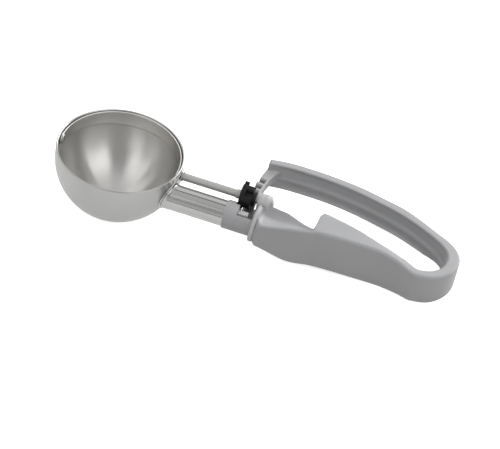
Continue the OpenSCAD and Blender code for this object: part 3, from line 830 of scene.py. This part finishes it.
def make_rack():
    """Toothed bar on an arc round the flex line, which widens smoothly into the lever."""
    reach = math.hypot(FLEX_X - RACK_X, FLEX_Y)
    outer, spine, inner = reach + RACK_OUT, reach + RACK_SPINE, reach + RACK_IN
    tip, low = shaft_z + TOOTH_TIP, shaft_z + RACK_LOW
    rings = []
    for angle, z in rack_marks(reach):
        y = FLEX_Y + reach * math.sin(angle)
        grow = min(max((y - GROW_FROM) / GROW_OVER, 0), 1) ** GROW_POWER
        side, lift = GROW_SIDE * grow, GROW_TOP * grow
        base = low - GROW_LOW * grow
        ring = [(outer + side, base), (inner - side, base), (inner - side, tip + lift),
                (spine, tip + lift), (spine, z + SPINE_LIFT + lift), (outer + side, z + lift)]
        rings.append([(FLEX_X + r * math.cos(angle), FLEX_Y + r * math.sin(angle), h)
                      for r, h in ring])
    count = len(rings[0])
    rack = new_piece("rack_bar", joined(rings), grid_faces(len(rings), count)
                     + cap_faces(len(rings), count), materials["rack"], smooth=False)
    soften_edges(rack, width=0.22, angle=30, segments=2)
    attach(rack, "lever")
    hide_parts("rack_arm")


# ---------- handle ----------

grip_half_h = 13.1
bend_half_h = 10.1
lever_half_h = 8.7
lever_y = 39.4
lever_t = 4.0
flex_t = 3.1
groove = 1.9
hump_y = 2.6
lip_r = shank_r + 0.7 + 2.3  # over the collar and a wall
neck_len = 33.8
neck_in = shank_y + lip_r - 0.2
neck_out = shank_y - lip_r - 0.2
slim = lip_r - 0.7
LIP_LEAN = 0.05
# The lip's front takes the light plastic: the lighter moulding, and a painted highlight along its
# bead.
LIP_LIGHT_AND_HIGHLIGHT = 2.2  # how far behind its front the lip is light
RIB, RIM, GROOVE_SLOPE = 1.5, 1.3, 0.8
# Shares of the inner face's flat half height, which limit the grooves where the handle is low.
RIM_SHARE, SLOPE_SHARE, RIB_SHARE = 0.8, 0.5, 0.3
RIB_ZONE, RIB_SHIFT = 0.7, 0.1
CORNER_STEPS = 7
ROW_STEPS = 8
# Share of the way over the upper face, with the depth there of the hollow and of the gully.
FACE_DIPS = ((0.06, 0.5, 0.6), (0.13, 0.85, 1), (0.22, 1, 0.8), (0.36, 0.95, 0.25), (0.6, 0.65, 0),
             (0.85, 0.2, 0))


def handle_ring(row):
    """Closed ring round the handle.

    A row holds the inner and the outer edge in plan, the inner and outer half height, the inner and
    outer corner radius, the depth of the grooves in the inner face, the ring's lean, and the depths
    of the hollow and of the gully in its upper and lower faces.
    """
    ax, ay, bx, by, h_in, h_out, r_in, r_out, deep, lean, dish, gully = row
    a, b = Vector((ax, ay)), Vector((bx, by))
    thick = (b - a).length
    along = (b - a) / thick
    flat = h_in - r_in
    levels = [flat, min(flat, h_in - RIM), min(flat * RIM_SHARE, h_in - RIM - GROOVE_SLOPE),
              min(flat * SLOPE_SHARE, RIB + GROOVE_SLOPE), min(flat * RIB_SHARE, RIB)]
    steps = list(zip((0, 0, deep, deep, 0), levels))
    zone, shift = flat * RIB_ZONE, RIB_SHIFT * flat
    inner = [(d, z if z > zone else z - shift) for d, z in steps]
    inner += [(d, -z if z > zone else -z - shift) for d, z in reversed(steps)]
    lower_in = arc((r_in, r_in - h_in), r_in, 180, 270, CORNER_STEPS)
    lower_out = arc((thick - r_out, r_out - h_out), r_out, 270, 360, CORNER_STEPS)
    upper_out = arc((thick - r_out, h_out - r_out), r_out, 0, 90, CORNER_STEPS)
    upper_in = arc((r_in, h_in - r_in), r_in, 90, 180, CORNER_STEPS)
    (x0, z0), (x1, z1) = upper_in[0], upper_out[-1]
    top = [(x0 + (x1 - x0) * share, z0 + (z1 - z0) * share - dish * wide - gully * narrow)
           for share, wide, narrow in FACE_DIPS]
    bottom = [(x, -z) for x, z in top]
    outline = inner + lower_in[1:] + bottom + lower_out + upper_out + top[::-1] + upper_in[:-1]
    ring = []
    for through, up in outline:
        spot = a + along * through
        ring.append((spot.x + lean * up, spot.y, mid_z + up))
    return ring


def grip_row(behind, y0, y1, h0, h1, r0, r1, dish=0, gully=0):
    """Row square to X, at a distance behind the lip."""
    lean = LIP_LEAN * max(0, 1 - behind / neck_len)
    x = lip_x + behind
    return [x, y0, x, y1, h0, h1, r0, r1, 0, lean, dish, gully]


def loop_row(ax, ay, bx, by, half, deep, corner):
    """Row of the bend or the lever, as high inside as outside."""
    return [ax, ay, bx, by, half, half, corner, corner, deep, 0, 0, 0]


def neck_rows():
    """Lip and hollow neck of the grip."""
    y0, y1, gh = neck_in, neck_out, grip_half_h
    return [
        grip_row(0, y0 - 0.7, y1 + 0.8, lip_r - 0.9, lip_r - 0.9, lip_r - 1.2, lip_r - 1.2),
        grip_row(0.25, y0 - 0.2, y1 + 0.3, lip_r - 0.4, lip_r - 0.4, lip_r - 0.7, lip_r - 0.7),
        grip_row(0.8, y0 + 0.2, y1 - 0.1, lip_r, lip_r, lip_r - 0.3, lip_r - 0.3),
        grip_row(1.8, y0 + 0.2, y1 - 0.1, lip_r, lip_r, lip_r - 0.3, lip_r - 0.3),
        grip_row(2.3, y0 - 0.1, y1 + 0.2, lip_r - 0.4, lip_r - 0.4, slim - 0.4, slim - 0.6),
        grip_row(2.8, y0 - 0.6, y1 + 0.7, slim - 0.2, slim - 0.2, slim - 0.5, slim - 0.8),
        grip_row(3.4, y0 - 0.6, y1 + 0.5, slim - 0.6, slim - 1.4, 5, 5, 1.8, 0.8),
        grip_row(4.8, y0 - 0.8, y1 + 0.3, 8.9, 8.1, 3, 2, 2.5, 1),
        grip_row(7.1, y0 - 1, y1 + 0.3, 8.4, 8.2, 2, 1.3, 3, 0.8),
        grip_row(12.5, y0 - 1.5, y1 + 0.3, 7.6, 9.4, 1.2, 1.2, 4),
        grip_row(17, y0 - 1.7, y1 + 0.3, 7.1, 10.6, 1.2, 1.2, 4),
        grip_row(22.5, y0 - 2.2, y1 + 0.5, 5.6, 11.9, 1.5, 1.3, 3),
        grip_row(28, y0 - 3.2, y1 + 1.3, 4.3, 12.4, 1.5, 1.4, 2),
        grip_row(neck_len, y0 - 4.2, y1 + 2.9, 4.5, gh - 0.5, 2.5, 1.6, 1)]


def palm_rows():
    """Finger stop and palm of the grip."""
    y0, y1, gh = hump_y, neck_out, grip_half_h
    return [
        grip_row(neck_len + 1.4, y0 - 2.4, y1 + 3.4, gh - 0.6, gh - 0.3, 4, 1.7),
        grip_row(neck_len + 3.7, y0, y1 + 3.9, gh - 0.4, gh - 0.1, 3, 1.8),
        grip_row(46, y0 - 2, y1 + 4.6, gh - 0.1, gh, 3, 1.8),
        grip_row(grip_len - 30, y0 - 5.6, y1 + 4.9, gh - 0.1, gh, 2.4, 1.8),
        grip_row(grip_len - 17, y0 - 10.6, y1 + 4.9, gh - 0.3, gh - 0.2, 2.2, 1.8),
        grip_row(grip_len - 10, y0 - 12.6, y1 + 4, gh - 0.9, gh - 0.8, 2.2, 1.8),
        grip_row(grip_len - 4, y0 - 14.7, y1 + 2.5, gh - 1.6, gh - 1.5, 2, 1.7)]


def bend_rows():
    """Rear bend, from the grip round to its thin upper corner."""
    x, y0, y1, bh, lh = bend_x, hump_y - 16, neck_out + 1.1, bend_half_h, lever_half_h
    inner = arc((x + 8, -3.3), 13.3, -90, 0, 3)
    outer = arc((x + 8.6, -2.5), 20, -90, 0, 3)
    return [
        loop_row(x, y0, x, y1, bh + 0.8, 0, 1.6),
        loop_row(x + 4, y0 - 1.7, x + 4, y1 - 1.7, bh + 0.2, 0, 1.6),
        *[loop_row(*a, *b, bh, 0, 1.6) for a, b in zip(inner, outer)],
        loop_row(x + 20.4, 3.2, x + 26.5, 6.1, bh - 0.3, 0.6, 1.3),
        loop_row(x + 16, 9.4, x + 20.6, 13, bh - 0.7, 1.4, 1),
        loop_row(x + 9, 14.6, x + 11.3, 14.6 + flex_t + 1, lh + 0.3, 1.8, 0.9),
        loop_row(x, 19.9, x + 1.8, 20.2 + flex_t + 1.1, lh, 1.9, 0.8)]


def lever_rows():
    """Grooved lever, from the bend to its front end."""
    x, y0, y1, lh = bend_x, lever_y - lever_t - 0.6, lever_y, lever_half_h
    front = ends("squeeze_lever")[0]
    return [
        loop_row(x - 12, 25.2, x - 10.2, 30.1, lh, groove, 0.7),
        loop_row(x - 25, y0 - 5.9, x - 24, y1 - 5.6, lh, groove, 0.7),
        loop_row(x - 38, y0 - 2.8, x - 37.4, y1 - 2.5, lh, groove, 0.7),
        loop_row(x - 51, y0 - 0.8, x - 50.8, y1 - 0.8, lh, groove, 0.7),
        loop_row(x - 64, y0, x - 64, y1, lh, groove, 0.7),
        loop_row(front + 12, y0 - 0.2, front + 12, y1 - 0.2, lh, groove * 0.7, 0.7),
        loop_row(front, y0 - 2, front, y1 - 2.2, lh, 0, 0.8)]


def make_handle():
    """One moulding of lip, grip, bend and lever, with a thin upper corner at the bend."""
    rows = smooth_rows(neck_rows(), ROW_STEPS)
    rows += smooth_rows(palm_rows() + bend_rows() + lever_rows(), ROW_STEPS)
    rings = [handle_ring(row) for row in rows]
    count = len(rings[0])
    handle = new_piece("loop_handle", joined(rings), grid_faces(len(rings), count)
                       + cap_faces(len(rings), count), materials["grey"])
    handle.data.materials.append(materials["light"])
    # Lighter plastic at the lip's front, which also paints the highlight along its bead.
    for face in handle.data.polygons:
        if face.center.x < (lip_x + LIP_LIGHT_AND_HIGHLIGHT) * MM and face.center.y < (neck_in + 1) * MM:
            face.material_index = 1
    handle.modifiers.new("weighted", "WEIGHTED_NORMAL")
    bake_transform(handle)
    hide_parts("handle_grip", "flex_bend", "squeeze_lever")


# ---------- bearing boss ----------

BOSS_FRONT, BOSS_REAR = boss_x - 1, boss_end + 1.8
HOOD_R, BORE_R, HOOD_FLOOR = 3.15, 2.4, boss_end + 0.1
# Distance behind the boss's front and radius, then distance before its rear and radius.
BOSS_RIDGES = ((0, 3.9), (0.15, 4.3), (0.5, 4.5), (1.4, 4.5), (1.7, 4.7), (2.5, 4.7), (2.8, 4.45),
               (3.4, 4.45), (3.7, 4.65))
BOSS_HOOD = ((1.6, 4.6), (1.3, 4.35), (0.5, 4.3), (0.1, 4.1), (0, 3.8), (0, HOOD_R))
FOOT_DROP, FOOT_SPREAD, FOOT_KEPT, FOOT_POWER = 4, 5, 0.8, 1.5
FOOT_STEPS, BOSS_STEPS = 6, 30


def make_boss():
    """Bearing boss with faint ridges, a hood round the cap and a foot that flows into the neck."""
    profile = [(BOSS_FRONT + x, r) for x, r in BOSS_RIDGES]
    profile += [(BOSS_REAR - x, r) for x, r in BOSS_HOOD]
    profile += [(HOOD_FLOOR, HOOD_R), (HOOD_FLOOR, BORE_R)]
    low = mid_z - FOOT_DROP
    rings = []
    for x, r in profile:
        if r <= HOOD_R and x > boss_end:
            turns = [math.pi / 2 / FOOT_STEPS * i for i in range(1, FOOT_STEPS + 1)]
            side = [(r * math.cos(turn), shaft_z - r * math.sin(turn)) for turn in turns]
        else:
            flare = FOOT_SPREAD * min((x - BOSS_FRONT) / (BOSS_REAR - BOSS_FRONT), 1)
            side = [(r + flare * (i / FOOT_STEPS) ** FOOT_POWER,
                     shaft_z - (shaft_z - low) * i / FOOT_STEPS) for i in range(1, FOOT_STEPS + 1)]
        ring = [(x, y, z) for y, z in arc((0, shaft_z), r, 0, 180, BOSS_STEPS)]
        ring += [(x, -y, z) for y, z in side]
        ring += [(x, min(y, r + FOOT_KEPT), z) for y, z in reversed(side)]
        rings.append(ring)
    count = len(rings[0])
    boss = new_piece("bearing_boss", joined(rings), grid_faces(len(rings), count)
                     + cap_faces(len(rings), count), materials["light"])
    keep_sharp(boss, angle=60)
    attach(boss, "frame")


# ---------- carried-over CAD nodes ----------

PLUG_FROM = 6  # distance behind the lip from which the neck covers the plug
PLUG_SHARE = 0.4  # of the plug's own width
# CAD node, finish and width of its softened edges.
CAD_FINISH = (("shank_collar", "grey", 0.25), ("shank_pin", "satin", 0.15),
              ("rear_bush", "satin", 0.1), ("pinion", "black", 0.18), ("pinion_pin", "black", 0.1))


def narrow_plug(piece):
    """Narrows the collar's plug inside the neck, so that it stays below the neck's hollow."""
    group = bpy.data.node_groups.new("plug_cone", "GeometryNodeTree")
    for way in ("INPUT", "OUTPUT"):
        group.interface.new_socket("Geometry", in_out=way, socket_type="NodeSocketGeometry")
    nodes, links = group.nodes, group.links
    start, end = nodes.new("NodeGroupInput"), nodes.new("NodeGroupOutput")
    place = nodes.new("GeometryNodeInputPosition")
    split = nodes.new("ShaderNodeSeparateXYZ")
    inside = nodes.new("FunctionNodeCompare")
    inside.inputs[1].default_value = (lip_x + PLUG_FROM) * MM
    shrink = nodes.new("ShaderNodeVectorMath")
    shrink.operation = "MULTIPLY_ADD"
    shrink.inputs[1].default_value = (1, PLUG_SHARE, PLUG_SHARE)
    shrink.inputs[2].default_value = (0, (1 - PLUG_SHARE) * shank_y * MM,
                                      (1 - PLUG_SHARE) * shank_z * MM)
    move = nodes.new("GeometryNodeSetPosition")
    links.new(place.outputs[0], split.inputs[0])
    links.new(split.outputs[0], inside.inputs[0])
    links.new(place.outputs[0], shrink.inputs[0])
    links.new(start.outputs[0], move.inputs["Geometry"])
    links.new(inside.outputs[0], move.inputs["Selection"])
    links.new(shrink.outputs[0], move.inputs["Position"])
    links.new(move.outputs[0], end.inputs[0])
    piece.modifiers.new("plug_cone", "NODES").node_group = group


def finish_cad_nodes():
    """Materials and softened edges for the CAD nodes that no piece replaces."""
    for node, finish, edge in CAD_FINISH:
        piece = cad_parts[node]
        piece.data.materials.clear()
        piece.data.materials.append(materials[finish])
        if node == "shank_collar":
            narrow_plug(piece)
        soften_edges(piece, edge)


make_camera()
make_floor()
for light in LIGHTS:
    add_area_light(*light)
make_world()
make_materials()
make_bowl()
make_blade()
make_tube()
make_saddle()
make_turned()
make_tab()
make_sill()
make_shade_lug()
make_rack()
make_handle()
make_boss()
finish_cad_nodes()
